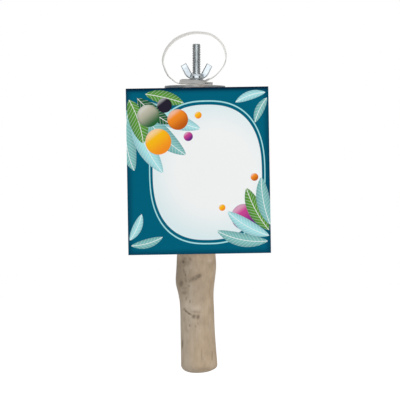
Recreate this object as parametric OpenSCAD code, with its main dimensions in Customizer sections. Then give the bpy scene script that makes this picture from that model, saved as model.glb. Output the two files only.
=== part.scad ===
// Bird perch: a peeled hardwood branch on a hanger bolt, with two wide washers and a wing
// nut that clamp it to the wires of a cage, a folded shelf card and a plastic hang strap.
// The origin is on the stud's axis at the lower washer's clamping face. +Z runs up the
// stud, away from the branch, and -Y is the front of the card.

/* [Branch] */
// Length of the branch, from its sawn top to its foot
branch_length = 208; // [150:0.5:300]
// Mean diameter of the branch
branch_diameter = 26; // [22:0.5:34]
// Radius of the sanded edge round the foot
foot_round = 5; // [1:0.5:6]
// Bevel round the sawn top end
top_bevel = 0.8; // [0.2:0.1:2]
// How far the old twig stub stands out of the bark line
stub_height = 1.1; // [0:0.1:3]

/* [Hanger bolt] */
// Major diameter of the stud's machine thread
stud_diameter = 6.35; // [5:0.05:8]
// Pitch of the machine thread
stud_pitch = 1.27; // [0.8:0.01:1.6]
// How far the stud stands above the clamping face
stud_reach = 33.7; // [26:0.1:50]
// Length of the bevel at the stud's tip
tip_bevel = 0.5; // [0.2:0.1:1]
// Length of the plain shank sunk in the branch
shank_length = 5; // [2:0.5:10]
// Length of the wood thread below the shank
wood_thread_length = 30; // [15:1:45]
// Pitch of the wood thread
wood_pitch = 2.5; // [1.5:0.1:4]
// Diameter over the wood thread
wood_thread_diameter = 6.6; // [5:0.1:8]
// Diameter at the root of the wood thread
wood_root_diameter = 4.4; // [3:0.1:5]
// Length of the gimlet point
point_length = 6; // [3:0.5:10]

/* [Washers] */
// Outside diameter of both washers
washer_diameter = 45; // [30:0.5:60]
// Thickness of a washer
washer_thickness = 2; // [0.8:0.1:3]
// Gap between the stud and the hole in a washer
washer_play = 1.4; // [0.1:0.05:2]
// Bevel on a washer's stamped edges
washer_bevel = 0.25; // [0.05:0.05:0.4]

/* [Card] */
// Width of the folded card
card_width = 104.5; // [60:0.5:140]
// Height of the front and back panels
card_height = 122; // [60:1:160]
// Depth of the top panel, from fold to fold
card_depth = 46; // [36:0.5:70]
// Thickness of the board
card_thickness = 0.5; // [0.3:0.05:1]
// Gap between the stud and the hole in the card
card_play = 0.8; // [0.3:0.1:2]
// Clear gap along each fold line
fold_gap = 0.1; // [0.05:0.01:0.2]

/* [Hang strap] */
// Width of the strap
strap_width = 20; // [12:0.5:26]
// Thickness of the strap
strap_thickness = 0.8; // [0.4:0.1:1.2]
// Width of the loop, measured on the middle of the strap
loop_width = 46.7; // [40:0.1:70]
// Height of the loop's crown above the stud's tip
loop_headroom = 8.5; // [6:0.1:20]
// Distance from the middle of a hole to the strap's cut end
tab_reach = 12; // [8:0.5:16]
// How far the strap leans forward on the stud, in degrees
strap_lean = 7; // [0:0.5:12]
// Gap between the stud and the holes in the strap
strap_play = 0.8; // [0.6:0.05:1.2]
// Gap between the strap's two ends, which spring apart under the nut
layer_gap = 1.2; // [0.05:0.05:2]
// Gap under the strap's lower edge, and over its upper face
seat_gap = 0.1; // [0.05:0.01:0.2]

/* [Wing nut] */
// Distance across the tips of the wings
wing_span = 23.8; // [20:0.1:34]
// Height of the nut, from its base to the wing tips
nut_height = 12.2; // [10:0.1:20]
// Diameter of the hub at its base
hub_diameter = 10.6; // [9.6:0.1:16]
// Diameter of the hub at its top
hub_top_diameter = 9.6; // [8.6:0.1:14]
// Height of the hub
hub_height = 3.8; // [3:0.1:9]
// Bevel round the base of the hub
hub_bevel = 0.7; // [0.3:0.1:1.2]
// Thickness of a wing
wing_thickness = 2.2; // [1.5:0.1:4]
// How far the wings are turned from the card's plane at rest, in degrees
wing_turn = 10; // [0:1:90]
// Running gap between the stud's crests and the nut's bore
nut_play = 0.06; // [0.02:0.01:0.1]

/* [Hidden] */

round_fn = 96;
overrun = 1;

stud_radius = stud_diameter / 2;
hub_seat_radius = hub_diameter / 2 - hub_bevel;

// The stack on the stud, from the branch's sawn end up. The strap leans forward, so its
// front edge stands on the upper washer and the nut bears on it behind the stud.
branch_top = -washer_thickness;
upper_washer_base = card_thickness;
upper_washer_top = upper_washer_base + washer_thickness;
strap_base = upper_washer_top + seat_gap + strap_width / 2 * sin(strap_lean);
strap_stack = 2 * strap_thickness + layer_gap;
nut_base = strap_base + strap_stack / cos(strap_lean)
    + hub_seat_radius * tan(strap_lean) + seat_gap;

// How far the upper washer and the card have slid on the stud, to the left and to the
// right, as shares of their play
washer_slip_share = 0.8;
card_slip_share = 0.5;
washer_slip = washer_slip_share * washer_play;
card_slip = card_slip_share * card_play;

// A sixty degree thread: flat root, flank, flat crest and flank, as shares of the pitch
root_share = 1 / 4;
crest_share = 1 / 8;
depth_share = 0.541;
stud_root_radius = stud_radius - depth_share * stud_pitch;

// A wood thread has a wide root and a sharp crest
wood_root_share = 0.6;
wood_radius = wood_thread_diameter / 2;
wood_root_radius = wood_root_diameter / 2;
wood_turns = floor((wood_thread_length - point_length) / wood_pitch);
shank_base = branch_top - shank_length;

// How the branch grew, from the sawn top to the foot: place along its length, sway to the
// right and to the back as shares of the diameter, and girth as a share of the mean
growth_shares = [
    [0.00, 0.000, 0.000, 1.10],
    [0.14, -0.010, 0.012, 1.07],
    [0.30, 0.008, -0.008, 1.03],
    [0.45, 0.004, 0.006, 1.05],
    [0.56, -0.008, 0.010, 1.08],
    [0.62, -0.002, 0.004, 1.14],
    [0.67, -0.018, -0.006, 1.08],
    [0.72, -0.012, -0.012, 0.983],
    [0.76, 0.016, -0.004, 0.965],
    [0.84, 0.031, 0.008, 0.973],
    [0.91, 0.056, 0.010, 1.006],
    [1.00, 0.096, 0.012, 1.072]];
branch_sides = 32;
branch_steps = 40;
round_steps = 4;
// The twig stub: its place and half length as shares of the branch's length, and the
// angles of its middle and of its half width round the branch
stub_place_share = 0.682;
stub_reach_share = 0.024;
stub_angle = 180;
stub_spread = 40;

// The loop's middle line, from the lower end of the strap round to the upper one, as
// shares of half the loop's width and of its height
loop_shares = [
    [-0.385, 0.000], [-0.527, 0.003], [-0.653, 0.034], [-0.771, 0.097], [-0.898, 0.183],
    [-1.049, 0.393], [-1.042, 0.574], [-0.889, 0.766], [-0.617, 0.905], [-0.200, 0.990],
    [0.227, 0.993], [0.562, 0.926], [0.826, 0.754], [0.936, 0.548], [0.862, 0.360],
    [0.599, 0.166], [0.363, 0.056], [0.236, 0.024]];
loop_steps = 4;

// The right wing, as shares of half the span and of the nut's height
wing_root_share = [0.32, 0.39];
wing_tip_share = [0.66, 1.00];
wing_corner_share = [1.00, 0.82];
wing_waist_share = [0.80, 0.42];
wing_belly_share = [0.67, 0.13];
wing_foot_share = [0.38, 0.05];
wing_steps = 8;

// The height of a smooth curve through rows of [place, value, value ...], at one place
function slope(rows, i, k) =
    let (a = rows[max(i - 1, 0)], b = rows[min(i + 1, len(rows) - 1)])
    (b[k] - a[k]) / (b[0] - a[0]);
function smooth_at(rows, place, k) =
    let (i = max([for (n = [0:len(rows) - 2]) if (rows[n][0] <= place || n == 0) n]))
    let (span = rows[i + 1][0] - rows[i][0], u = (place - rows[i][0]) / span)
    rows[i][k] * (2 * u ^ 3 - 3 * u ^ 2 + 1)
    + rows[i + 1][k] * (3 * u ^ 2 - 2 * u ^ 3)
    + slope(rows, i, k) * span * (u ^ 3 - 2 * u ^ 2 + u)
    + slope(rows, i + 1, k) * span * (u ^ 3 - u ^ 2);

// A smooth curve through points, with the same number of steps between each pair
function curve_point(points, i, u) =
    let (last = len(points) - 1)
    let (before = points[max(i - 1, 0)], from = points[i])
    let (to = points[min(i + 1, last)], after = points[min(i + 2, last)])
    (from * 2 + (to - before) * u + (before * 2 - from * 5 + to * 4 - after) * u ^ 2
     + (from * 3 - before - to * 3 + after) * u ^ 3) / 2;
function curve(points, steps) = [
    for (i = [0:len(points) - 2], n = [0:steps - 1]) curve_point(points, i, n / steps),
    points[len(points) - 1]];

// The unit normal of a flat path at point i
function path_normal(path, i) =
    let (run = path[min(i + 1, len(path) - 1)] - path[max(i - 1, 0)])
    [-run.y, run.x] / norm(run);

// A closed skin over rings of points, all with the same count
module skin(rings) {
    sides = len(rings[0]);
    last = len(rings) - 1;
    walls = [for (r = [0:last - 1], s = [0:sides - 1])
        let (a = r * sides + s, b = r * sides + (s + 1) % sides)
        each [[a, b, b + sides], [a, b + sides, a + sides]]];
    polyhedron(concat([for (ring = rings) each ring]),
        concat(walls, [[for (s = [sides - 1:-1:0]) s]],
            [[for (s = [0:sides - 1]) last * sides + s]]));
}

// The outline of half a ringed thread, from its lower end up
function thread_outline(base, turns, pitch, root, crest, root_part, crest_part) =
    let (flank = (1 - root_part - crest_part) / 2)
    [for (turn = [0:turns - 1]) each [
        [root, base + turn * pitch],
        [root, base + (turn + root_part) * pitch],
        [crest, base + (turn + root_part + flank) * pitch],
        [crest, base + (turn + root_part + flank + crest_part) * pitch]]];

// How far the twig stub lifts the branch's surface
function stub_swell(place, angle) =
    let (along = (place - stub_place_share) / stub_reach_share)
    let (turned = (angle - stub_angle) / stub_spread)
    stub_height * exp(-along ^ 2 - turned ^ 2);
function branch_ring(place, inset) =
    let (radius = branch_diameter / 2 * smooth_at(growth_shares, place, 3) - inset)
    let (sway_x = branch_diameter * smooth_at(growth_shares, place, 1))
    let (sway_y = branch_diameter * smooth_at(growth_shares, place, 2))
    [for (s = [0:branch_sides - 1])
        let (angle = 360 * s / branch_sides, reach = radius + stub_swell(place, angle))
        [sway_x + reach * cos(angle), sway_y + reach * sin(angle),
         branch_top - place * branch_length]];

module branch() {
    bevel_share = top_bevel / branch_length;
    round_share = foot_round / branch_length;
    rings = [
        branch_ring(1, foot_round),
        for (n = [1:round_steps]) branch_ring(
            1 - round_share * (1 - cos(90 * n / round_steps)),
            foot_round * (1 - sin(90 * n / round_steps))),
        for (n = [1:branch_steps - 1]) branch_ring(
            (1 - round_share) * (1 - n / branch_steps) + bevel_share * n / branch_steps, 0),
        branch_ring(bevel_share, 0),
        branch_ring(0, top_bevel)];
    color("tan") difference() {
        skin(rings);
        rotate_extrude($fn = round_fn) polygon(concat(wood_outline(), [
            [stud_root_radius, shank_base],
            [stud_root_radius, branch_top + overrun],
            [0, branch_top + overrun]]));
    }
}

// The wood thread and its point, up to the plain shank
function wood_outline() = [
    [0, shank_base - wood_thread_length],
    each thread_outline(shank_base - wood_turns * wood_pitch, wood_turns, wood_pitch,
        wood_root_radius, wood_radius, wood_root_share, 0),
    [wood_root_radius, shank_base]];

// The thread is drawn as rings up to the tips of the wings. Above them the stud's free
// end keeps the diameter of the thread's crests, which is what a second nut is sized by.
module hanger_bolt() {
    stud_turns = ceil((nut_base + nut_height - branch_top) / stud_pitch);
    free_end_base = branch_top + (stud_turns + root_share) * stud_pitch;
    flank = (1 - root_share - crest_share) / 2 * stud_pitch;
    color("silver") rotate_extrude($fn = round_fn) polygon([
        each wood_outline(),
        [stud_root_radius, shank_base],
        each thread_outline(branch_top, stud_turns, stud_pitch,
            stud_root_radius, stud_radius, root_share, crest_share),
        [stud_root_radius, branch_top + stud_turns * stud_pitch],
        [stud_root_radius, free_end_base],
        [stud_radius, free_end_base + flank],
        [stud_radius, stud_reach - tip_bevel],
        [stud_radius - tip_bevel, stud_reach],
        [0, stud_reach]]);
}

module washer(base, slip) {
    hole = stud_radius + washer_play;
    rim = washer_diameter / 2;
    top = base + washer_thickness;
    color("silver") translate([-slip, 0, 0]) rotate_extrude($fn = round_fn) polygon([
        [hole, base + washer_bevel], [hole + washer_bevel, base],
        [rim - washer_bevel, base], [rim, base + washer_bevel],
        [rim, top - washer_bevel], [rim - washer_bevel, top],
        [hole + washer_bevel, top], [hole, top - washer_bevel]]);
}

module card_top_panel() {
    panel_depth = card_depth - card_thickness - 2 * fold_gap;
    color("white") translate([card_slip, 0, 0]) difference() {
        translate([-card_width / 2, -panel_depth / 2, 0])
            cube([card_width, panel_depth, card_thickness]);
        translate([0, 0, -overrun])
            cylinder(r = stud_radius + card_play, h = card_thickness + 2 * overrun,
                $fn = round_fn);
    }
}

// A hanging panel, rounded along its fold line. side is -1 in front and 1 behind.
module card_panel(side) {
    fold_z = card_thickness / 2;
    drop = card_height - fold_z;
    color("teal") translate([card_slip, side * card_depth / 2, fold_z]) {
        rotate([0, 90, 0]) cylinder(r = card_thickness / 2, h = card_width,
            center = true, $fn = round_fn);
        translate([-card_width / 2, -card_thickness / 2, -drop])
            cube([card_width, card_thickness, drop]);
    }
}

module hang_strap() {
    lower_z = strap_thickness / 2;
    upper_z = strap_stack - strap_thickness / 2;
    loop_height = (stud_reach + loop_headroom - strap_base) / cos(strap_lean);
    loop = curve([for (p = loop_shares)
        [p.x * loop_width / 2, lower_z + p.y * loop_height]], loop_steps);
    last = len(loop) - 1;
    path = [
        [tab_reach, lower_z],
        each loop,
        [-tab_reach, upper_z]];
    outer = [for (i = [0:len(path) - 1]) path[i] + path_normal(path, i) * lower_z];
    inner = [for (i = [len(path) - 1:-1:0]) path[i] - path_normal(path, i) * lower_z];
    color("ivory") translate([0, 0, strap_base]) rotate([strap_lean, 0, 0]) difference() {
        rotate([90, 0, 0]) linear_extrude(strap_width, center = true)
            polygon(concat(outer, inner));
        translate([0, 0, -overrun]) cylinder(r = stud_radius + strap_play,
            h = strap_stack + 2 * overrun, $fn = round_fn);
    }
}

module wing_outline() {
    function at(share) = [share.x * wing_span / 2, share.y * nut_height];
    waist = at(wing_waist_share);
    belly = at(wing_belly_share);
    foot = at(wing_foot_share);
    polygon([
        [0, foot.y], [0, at(wing_root_share).y], at(wing_root_share),
        at(wing_tip_share), at(wing_corner_share),
        for (n = [0:wing_steps]) let (u = n / wing_steps)
            waist * (1 - u) ^ 2 + belly * 2 * u * (1 - u) + foot * u ^ 2]);
}

module wing_nut() {
    color("silver") translate([0, 0, nut_base]) difference() {
        union() {
            rotate_extrude($fn = round_fn) polygon([
                [0, 0], [hub_seat_radius, 0],
                [hub_diameter / 2, hub_bevel], [hub_top_diameter / 2, hub_height],
                [0, hub_height]]);
            for (turn = [0, 180]) rotate(wing_turn + turn) rotate([90, 0, 0])
                linear_extrude(wing_thickness, center = true) wing_outline();
        }
        translate([0, 0, -overrun]) cylinder(r = stud_radius + nut_play,
            h = nut_height + 2 * overrun, $fn = round_fn);
    }
}

branch();
hanger_bolt();
washer(branch_top, 0);  // lower_washer
card_top_panel();
card_panel(-1);  // card_front_panel
card_panel(1);  // card_back_panel
washer(upper_washer_base, washer_slip);  // upper_washer
hang_strap();
wing_nut();
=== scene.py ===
import math

import bmesh
import bpy
import numpy as np
from mathutils import Matrix, Vector, noise
from mathutils.bvhtree import BVHTree


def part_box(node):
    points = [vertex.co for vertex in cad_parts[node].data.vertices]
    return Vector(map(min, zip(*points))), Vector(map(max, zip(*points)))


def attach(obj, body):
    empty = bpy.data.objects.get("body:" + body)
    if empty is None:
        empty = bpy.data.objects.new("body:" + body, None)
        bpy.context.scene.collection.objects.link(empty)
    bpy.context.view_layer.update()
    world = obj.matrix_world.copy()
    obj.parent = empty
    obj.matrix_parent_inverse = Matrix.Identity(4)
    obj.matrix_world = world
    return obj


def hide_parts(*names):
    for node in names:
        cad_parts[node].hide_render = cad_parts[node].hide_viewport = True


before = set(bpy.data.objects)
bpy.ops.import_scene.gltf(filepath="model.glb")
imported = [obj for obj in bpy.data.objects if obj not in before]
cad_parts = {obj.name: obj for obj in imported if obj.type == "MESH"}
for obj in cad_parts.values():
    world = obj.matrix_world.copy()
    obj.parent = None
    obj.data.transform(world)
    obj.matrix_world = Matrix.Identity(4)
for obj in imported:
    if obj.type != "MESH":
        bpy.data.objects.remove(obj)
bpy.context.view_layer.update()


# Branch
# A short length of peeled hardwood, sanded but not varnished. It is sawn square at the top,
# drilled for the bolt, rounded over at the foot, and still swells where a twig grew.
MM = 0.001
branch_low, branch_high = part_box("branch")
branch_sides = 184
branch_rows = 372
# The CAD surface is measured from outside, and its 32 facets and its rows are evened out
ray_start = 60 * MM
facet_angle = 2 * math.pi / 32
spreads_per_facet = 2.2
row_spread = 3.0 * MM
foot_height = 6.0 * MM
foot_power = 0.89
foot_lean = 0.19
foot_steps = 20
end_steps = 9
end_bevel = 0.8 * MM
bore_radius = 3.5 * MM
bore_depth = 42 * MM
bevel_middle = 0.3
end_grain_start, end_grain_blend = 0.62, 0.15
swell_depth = 0.22 * MM
swell_reach = 16 * MM
swell_stretch = 0.5
fibre_depth = 0.045 * MM
fibre_width = 1.3 * MM
fibre_length = 22 * MM
# The drill's blunt end, from its tip: shares of the bore's radius, and heights over the tip
bore_end = ((0.35, 0.4 * MM), (1, 2.5 * MM))

# Marks left by twigs and knocks, on the front (-1), where the photograph shows them, and on
# the back (1), where they are guessed: across the branch, height, half width, half height
# (mm), turn (degrees), how far they stand out (mm) and how dark they are
bark_marks = {
    -1: [
        (-9.7, -127.4, 0.8, 1.1, 30, -0.45, 1.00), (-9.0, -125.6, 2.0, 1.0, 35, 0.15, 0.35),
        (-4.6, -125.2, 1.6, 0.9, -50, -0.10, 0.50), (-7.0, -128.6, 2.4, 2.0, 0, 0.12, 0.25),
        (-9.3, -133.3, 0.6, 0.5, 0, -0.30, 0.75), (-7.9, -134.6, 0.9, 0.5, -25, -0.15, 0.40),
        (-8.1, -137.2, 0.5, 0.6, 0, -0.45, 1.00), (-7.9, -140.4, 0.8, 2.2, 10, -0.10, 0.40),
        (-0.4, -139.0, 4.2, 1.7, 28, -0.10, 0.70), (1.6, -137.9, 2.2, 1.5, 24, 0.05, 0.85),
        (-4.0, -140.8, 2.0, 0.9, 24, -0.05, 0.45), (-4.5, -141.7, 2.0, 0.8, 20, 0.00, 0.30),
        (-11.2, -143.6, 1.5, 2.3, 0, -0.25, 0.70), (-5.7, -145.2, 0.8, 0.6, 0, -0.20, 0.60),
        (-9.0, -147.0, 1.8, 1.2, -20, 0.10, 0.35), (-9.1, -150.2, 1.7, 1.4, 15, -0.20, 0.55),
        (-7.4, -154.4, 0.7, 1.5, -20, -0.15, 0.45), (-4.9, -156.8, 0.7, 1.3, -15, -0.15, 0.45),
        (-9.1, -162.5, 0.8, 1.0, -45, -0.25, 0.70), (-7.7, -164.0, 1.7, 0.7, -42, -0.35, 0.95),
        (-5.6, -165.6, 1.7, 0.65, -32, -0.30, 0.90), (-3.7, -166.6, 0.9, 0.5, -20, -0.20, 0.55),
        (-2.1, -167.9, 1.4, 1.3, 25, -0.35, 0.85), (1.1, -168.1, 1.1, 1.6, -15, -0.35, 0.85),
        (-0.3, -164.4, 4.0, 0.45, -4, -0.10, 0.30), (-0.6, -169.2, 1.0, 0.4, 0, -0.10, 0.40),
        (-5.2, -174.4, 0.6, 0.9, 15, -0.20, 0.70), (-0.6, -174.8, 0.7, 1.2, 25, -0.10, 0.40),
        (1.0, -172.9, 0.6, 0.8, 0, -0.10, 0.40), (-6.5, -178.8, 0.9, 1.6, 20, -0.05, 0.25),
        (-10.4, -188.0, 0.5, 3.4, 0, -0.25, 0.75), (-7.0, -185.5, 0.4, 3.0, 0, -0.05, 0.30),
        (3.9, -195.6, 0.35, 4.4, 0, -0.18, 0.50), (11.6, -197.2, 0.5, 3.6, 0, -0.15, 0.45),
        (8.7, -174.8, 0.5, 3.0, 0, -0.10, 0.30), (9.2, -168.0, 0.3, 5.0, 0, -0.05, 0.22),
        (5.5, -149.0, 0.4, 6.0, 6, -0.05, 0.18), (3.0, -153.5, 0.4, 5.0, 4, -0.05, 0.15),
        (4.0, -149.5, 4.6, 8.0, 0, 0.00, 0.15), (-9.2, -134.9, 0.5, 0.5, 0, -0.30, 0.85),
        (-8.4, -136.1, 0.45, 0.5, 0, -0.30, 0.80), (-8.0, -141.5, 0.5, 0.6, 0, -0.30, 0.70),
        (-7.2, -146.5, 0.4, 0.5, 0, -0.20, 0.60)],
    1: [
        (4.0, -96.0, 1.6, 1.3, 0, -0.35, 0.80), (-3.0, -141.0, 1.1, 2.0, 20, -0.30, 0.70),
        (7.0, -172.0, 0.6, 4.0, 0, -0.15, 0.45), (-6.0, -58.0, 0.9, 1.6, 30, -0.25, 0.65),
        (1.0, -30.0, 0.5, 5.0, 0, -0.15, 0.40), (6.5, -120.0, 2.6, 1.2, -24, 0.08, 0.45)]}
mark_power = 1.4
mark_fill = 1.35
# Raised places: across, height, half width, half height and lift, in mm as above
raised_marks = {
    -1: [(-0.8, -161.6, 4.2, 2.2, 0.40), (-6.8, -160.0, 2.4, 3.0, 0.15),
         (10.1, -126.6, 1.5, 1.4, 0.12)],
    1: [(4.0, -96.0, 3.6, 3.2, 0.35), (-3.0, -141.0, 3.0, 4.0, 0.30)]}
# The dip round each raised place, in shares of it
dip_depth, dip_place, dip_sharpness = 0.35, 1.35, 3.0
# The wood swells most on the left, over the twig's knot: its place, size and lift in mm
knot_place, knot_size, knot_lift = (-14.5, -141.5), (6, 8), 0.45


def node_skin(name):
    """The surface of a CAD node, to measure from."""
    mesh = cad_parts[name].data
    return BVHTree.FromPolygons([v.co for v in mesh.vertices],
                                [p.vertices for p in mesh.polygons])


def bell(distance):
    return np.exp(-distance ** 2)


def measured_radius(skin, heights, angles, start):
    """How far the skin is from the stud's axis at each height and angle, seen from outside."""
    reach = np.zeros((len(heights), len(angles)))
    for row, z in enumerate(heights):
        for column, angle in enumerate(angles):
            out = Vector((math.cos(angle), math.sin(angle), 0))
            hit = skin.ray_cast(out * start + Vector((0, 0, z)), -out)[0]
            reach[row, column] = Vector((hit.x, hit.y)).length
    return reach


def even_out(rows, spread, axis):
    """A soft average along one axis. It wraps round on axis 1."""
    reach = int(spread * 3) + 1
    weights = [math.exp(-0.5 * (n / spread) ** 2) for n in range(-reach, reach + 1)]
    mode = "wrap" if axis else "edge"
    pad = ((0, 0), (reach, reach)) if axis else ((reach, reach), (0, 0))
    padded = np.pad(rows, pad, mode=mode)
    size = rows.shape[axis]
    total = sum(w * padded.take(range(n, n + size), axis) for n, w in enumerate(weights))
    return total / sum(weights)


branch_angles = np.arange(branch_sides) * 2 * math.pi / branch_sides
wall_foot = branch_low.z + foot_height
wall_heights = np.linspace(branch_high.z - end_bevel, wall_foot, branch_rows)
wall = measured_radius(node_skin("branch"), wall_heights, branch_angles, ray_start)
wall = even_out(wall, facet_angle / (branch_angles[1] * spreads_per_facet), 1)
wall = even_out(wall, row_spread / (wall_heights[0] - wall_heights[1]), 0)

# Where each point of the wall is, before its surface is worked
wall_x = wall * np.cos(branch_angles)
wall_y = wall * np.sin(branch_angles)
wall_z = np.repeat(wall_heights[:, None], branch_sides, 1)
lift, stain, pale = np.zeros_like(wall), np.zeros_like(wall), np.zeros_like(wall)
for side, marks in bark_marks.items():
    for across, height, half_width, half_height, turn, stands, dark in marks:
        turn = math.radians(turn)
        right, up = wall_x / MM - across, wall_z / MM - height
        run = right * math.cos(turn) + up * math.sin(turn)
        rise = up * math.cos(turn) - right * math.sin(turn)
        mark = bell(np.hypot(run / half_width, rise / half_height) ** mark_power)
        mark *= (wall_y * side > 0)
        lift += stands * MM * mark
        stain = np.maximum(stain, dark * np.minimum(1, mark_fill * mark))
for side, marks in raised_marks.items():
    for across, height, half_width, half_height, stands in marks:
        place = np.hypot((wall_x / MM - across) / half_width,
                         (wall_z / MM - height) / half_height)
        facing = wall_y * side > 0
        mark = bell(place) * facing
        dip = dip_depth * bell((place - dip_place) * dip_sharpness) * facing
        lift += stands * MM * (mark - dip)
        pale = np.maximum(pale, mark)
lift += knot_lift * MM * bell(np.hypot((wall_x / MM - knot_place[0]) / knot_size[0],
                                       (wall_z / MM - knot_place[1]) / knot_size[1]))
for row in range(branch_rows):
    for column in range(branch_sides):
        x, y, z = wall_x[row, column], wall_y[row, column], wall_z[row, column]
        broad = noise.noise(Vector((x, y, z * swell_stretch)) / swell_reach)
        fibre = noise.noise(Vector((x / fibre_width, y / fibre_width, z / fibre_length)))
        lift[row, column] += swell_depth * broad + fibre_depth * fibre
wall = wall + lift


def ring_points(radii, z):
    """One ring of the branch, from its radius at each angle."""
    return [(r * math.cos(a), r * math.sin(a), z) for r, a in zip(radii, branch_angles)]


# The rings run from the bottom of the bore, up it, over the sawn top, down the wall, round
# the foot and in to its middle
flat = np.ones(branch_sides)
rings = [ring_points(flat * bore_radius * share, branch_high.z - bore_depth + up)
         for share, up in bore_end]
rings.append(ring_points(flat * bore_radius, branch_high.z))
end_face = [0, 0, 0]
for step in range(1, end_steps):
    reach = (wall[0] - end_bevel - bore_radius) * (step / end_steps)
    rings.append(ring_points(bore_radius + reach, branch_high.z))
    end_face.append(1)
rings.append(ring_points(wall[0] - end_bevel, branch_high.z))
rings.append(ring_points(wall[0] - end_bevel * bevel_middle,
                         branch_high.z - end_bevel * bevel_middle))
end_face += [1, 0.5]
first_wall_ring = len(rings)
rings += [ring_points(wall[row], wall_heights[row]) for row in range(branch_rows)]
end_face += [0] * branch_rows
foot_centre = np.array([wall_x[-1].mean(), wall_y[-1].mean()])
foot_spoke = np.stack([wall[-1] * np.cos(branch_angles), wall[-1] * np.sin(branch_angles)], 1)
for step in range(1, foot_steps):
    over = step / foot_steps * math.pi / 2
    keep = math.cos(over) ** (foot_power + foot_lean * np.cos(branch_angles))
    spots = foot_centre + (foot_spoke - foot_centre) * keep[:, None]
    rings.append([(x, y, wall_foot - foot_height * math.sin(over)) for x, y in spots])
    end_face.append(min(1, max(0, (end_grain_start - keep.mean()) / end_grain_blend)))


def mesh_of(name, points, faces):
    """A new mesh."""
    mesh = bpy.data.meshes.new(name)
    mesh.from_pydata(points, [], faces)
    return mesh


def close_rings(name, rings, first_tip, last_tip):
    """A closed skin over rings with the same count of points, with a tip at either end."""
    count = len(rings[0])
    points = [first_tip] + [p for ring in rings for p in ring] + [last_tip]
    faces = []
    for n in range(count):
        m = (n + 1) % count
        faces.append((0, 1 + m, 1 + n))
        faces.append((len(points) - 1, len(points) - 1 - count + n,
                      len(points) - 1 - count + m))
        for r in range(len(rings) - 1):
            low, high = 1 + r * count, 1 + (r + 1) * count
            faces.append((low + n, low + m, high + m, high + n))
    return mesh_of(name, points, faces)


def face_outwards(mesh, smooth_angle=None):
    """Merges doubles, turns every face outwards and smooths what isn't a sharp edge."""
    work = bmesh.new()
    work.from_mesh(mesh)
    bmesh.ops.remove_doubles(work, verts=work.verts, dist=1e-7)
    bmesh.ops.recalc_face_normals(work, faces=work.faces)
    if work.calc_volume(signed=True) < 0:
        bmesh.ops.reverse_faces(work, faces=work.faces)
    work.to_mesh(mesh)
    work.free()
    mesh.shade_smooth()
    if smooth_angle is not None:
        mesh.set_sharp_from_angle(angle=math.radians(smooth_angle))
    return mesh


def place_in_scene(name, data):
    """A new object, at the origin."""
    made = bpy.data.objects.new(name, data)
    bpy.context.scene.collection.objects.link(made)
    return made


def show(name, mesh, body, slot, *nodes):
    """Puts a finished mesh in the scene, riding on its body in place of its CAD nodes."""
    piece = place_in_scene(name, mesh)
    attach(piece, body)
    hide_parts(*nodes)


branch_mesh = close_rings("peeled_branch", rings, (0, 0, branch_high.z - bore_depth),
                          (*foot_centre, branch_low.z))
ring_stain = np.zeros((len(rings), branch_sides))
ring_pale = np.zeros_like(ring_stain)
ring_stain[first_wall_ring:first_wall_ring + branch_rows] = stain
ring_pale[first_wall_ring:first_wall_ring + branch_rows] = pale
for label, values in (("stain", ring_stain), ("pale", ring_pale),
                      ("end_grain", np.repeat(np.array(end_face)[:, None], branch_sides, 1))):
    painted = branch_mesh.attributes.new(label, "FLOAT", "POINT")
    painted.data.foreach_set("value", np.concatenate([[0], values.ravel(), [values[-1, 0]]]))
face_outwards(branch_mesh)


class Wire:
    """A value in a node tree. Arithmetic with it adds Math nodes to the tree."""

    def __init__(self, tree, socket):
        self.tree = tree
        self.socket = socket

    def __add__(self, other):
        return sum_of("ADD", self, other)

    def __sub__(self, other):
        return sum_of("SUBTRACT", self, other)

    def __rsub__(self, other):
        return sum_of("SUBTRACT", other, self)

    def __mul__(self, other):
        return sum_of("MULTIPLY", self, other)

    def __truediv__(self, other):
        return sum_of("DIVIDE", self, other)

    def __pow__(self, other):
        return sum_of("POWER", self, other)

    def __abs__(self):
        return sum_of("ABSOLUTE", self)

    def axis(self, number):
        """A place's distance along X, Y or Z, by number."""
        return put(self.tree, "ShaderNodeSeparateXYZ", {0: self}, output=number)


def fill(node, inputs):
    """Gives a node its inputs, which are values or wires."""
    for key, value in inputs.items():
        if isinstance(value, Wire):
            value.tree.links.new(value.socket, node.inputs[key])
        else:
            node.inputs[key].default_value = value


def put(tree, kind, inputs=None, output=0, **settings):
    """A new node with its settings and inputs, as the wire from one of its outputs."""
    made = tree.nodes.new(kind)
    for name, value in settings.items():
        setattr(made, name, value)
    fill(made, inputs or {})
    return Wire(tree, made.outputs[output])


def sum_of(operation, *terms, clamp=False):
    """Math on wires and numbers."""
    tree = next(term.tree for term in terms if isinstance(term, Wire))
    return put(tree, "ShaderNodeMath", dict(enumerate(terms)), operation=operation,
               use_clamp=clamp)


def least(one, other):
    return sum_of("MINIMUM", one, other)


def most(one, other):
    return sum_of("MAXIMUM", one, other)


def vector_of(operation, *terms):
    """Math on vectors, of which a wire comes first."""
    number = operation in ("LENGTH", "DISTANCE", "DOT_PRODUCT")
    return put(terms[0].tree, "ShaderNodeVectorMath", dict(enumerate(terms)),
               output="Value" if number else 0, operation=operation)


def ramp(value, low, high, to_low=0.0, to_high=1.0):
    """A smooth step from one value to another."""
    return put(value.tree, "ShaderNodeMapRange",
               {0: value, 1: low, 2: high, 3: to_low, 4: to_high},
               interpolation_type="SMOOTHSTEP")


def tint(share, below, above, mode="MIX"):
    """One colour over another, by a share."""
    def full(c):
        return c if isinstance(c, Wire) else (*c, 1)
    return put(share.tree, "ShaderNodeMix", {0: share, 6: full(below), 7: full(above)},
               output=2, data_type="RGBA", blend_type=mode, clamp_result=True)


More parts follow.
